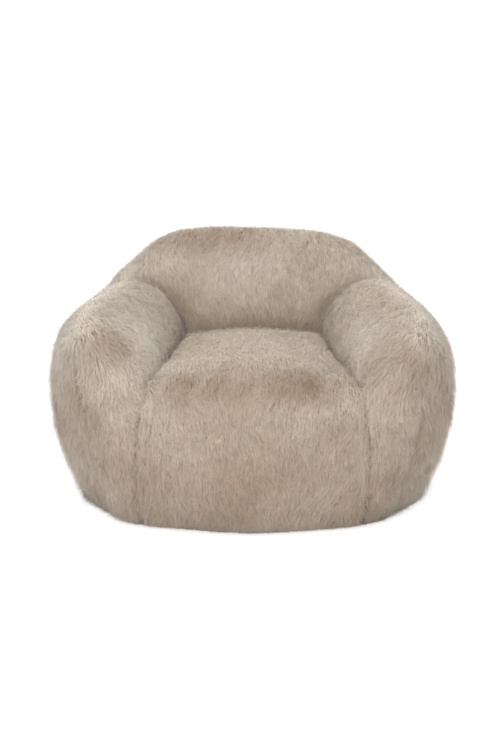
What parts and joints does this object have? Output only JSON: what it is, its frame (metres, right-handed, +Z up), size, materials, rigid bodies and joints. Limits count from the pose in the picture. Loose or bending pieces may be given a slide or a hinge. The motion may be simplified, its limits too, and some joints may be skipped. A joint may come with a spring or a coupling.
{
  "type": "bean bag armchair",
  "caption": "Low fur-covered bean bag armchair with a rounded back, two padded arms, an inner liner with bead filling, and zips under the seat.",
  "frame": {"origin": "on the floor, under the middle of the chair's bounding box", "axes": "+Z up, -Y towards the front of the seat, +X towards the right arm as seen by someone who faces the chair"},
  "size_m": [1.0392, 0.9966, 0.6663],
  "materials": {
    "fur_cover": "long-pile faux fur",
    "base_canvas": "matt woven canvas",
    "liner_fabric": "thin matt lining",
    "bead_fill": "loose foam beads",
    "zip_nylon": "woven tape and nylon coil",
    "zip_metal": "dull cast metal"
  },
  "bodies": {
    "chair": {"seat_panel": "fur_cover", "front_panel": "fur_cover", "back_front_panel": "fur_cover", "back_rear_panel": "fur_cover", "arm_inner_panel_left": "fur_cover", "arm_inner_panel_right": "fur_cover", "arm_front_panel_left": "fur_cover", "arm_front_panel_right": "fur_cover", "side_panel_left": "fur_cover", "side_panel_right": "fur_cover", "base_panel_front": "base_canvas", "base_panel_rear": "base_canvas", "liner_bag": "liner_fabric", "arm_baffle_left": "liner_fabric", "arm_baffle_right": "liner_fabric", "back_baffle": "liner_fabric", "seat_bead_fill": "bead_fill", "back_bead_fill": "bead_fill", "arm_bead_fill_left": "bead_fill", "arm_bead_fill_right": "bead_fill", "cover_zip_tape_front": "zip_nylon", "cover_zip_tape_rear": "zip_nylon", "cover_zip_coil_front": "zip_nylon", "cover_zip_coil_rear": "zip_nylon", "cover_zip_top_stop": "zip_metal", "cover_zip_bottom_stop": "zip_metal", "liner_zip_tape_front": "zip_nylon", "liner_zip_tape_rear": "zip_nylon", "liner_zip_coil_front": "zip_nylon", "liner_zip_coil_rear": "zip_nylon", "liner_zip_top_stop": "zip_metal", "liner_zip_bottom_stop": "zip_metal"},
    "cover_slider": {"cover_zip_slider": "zip_metal"},
    "cover_pull": {"cover_zip_pull": "zip_metal"},
    "liner_slider": {"liner_zip_slider": "zip_metal"},
    "liner_pull": {"liner_zip_pull": "zip_metal"}
  },
  "joints": [
    {"name": "cover_zip_travel", "type": "slide", "parent": "chair", "child": "cover_slider", "axis": [1, 0, 0], "range_m": [0, 0.5]},
    {"name": "cover_pull_swing", "type": "hinge", "parent": "cover_slider", "child": "cover_pull", "pos_m": [-0.2509, 0.06, 0.0073], "axis": [0, 1, 0], "range_deg": [0, 180]},
    {"name": "liner_zip_travel", "type": "slide", "parent": "chair", "child": "liner_slider", "axis": [1, 0, 0], "range_m": [0, 0.5]},
    {"name": "liner_pull_swing", "type": "hinge", "parent": "liner_slider", "child": "liner_pull", "pos_m": [-0.2509, 0.06, 0.0198], "axis": [0, 1, 0], "range_deg": [0, 10]}
  ]
}
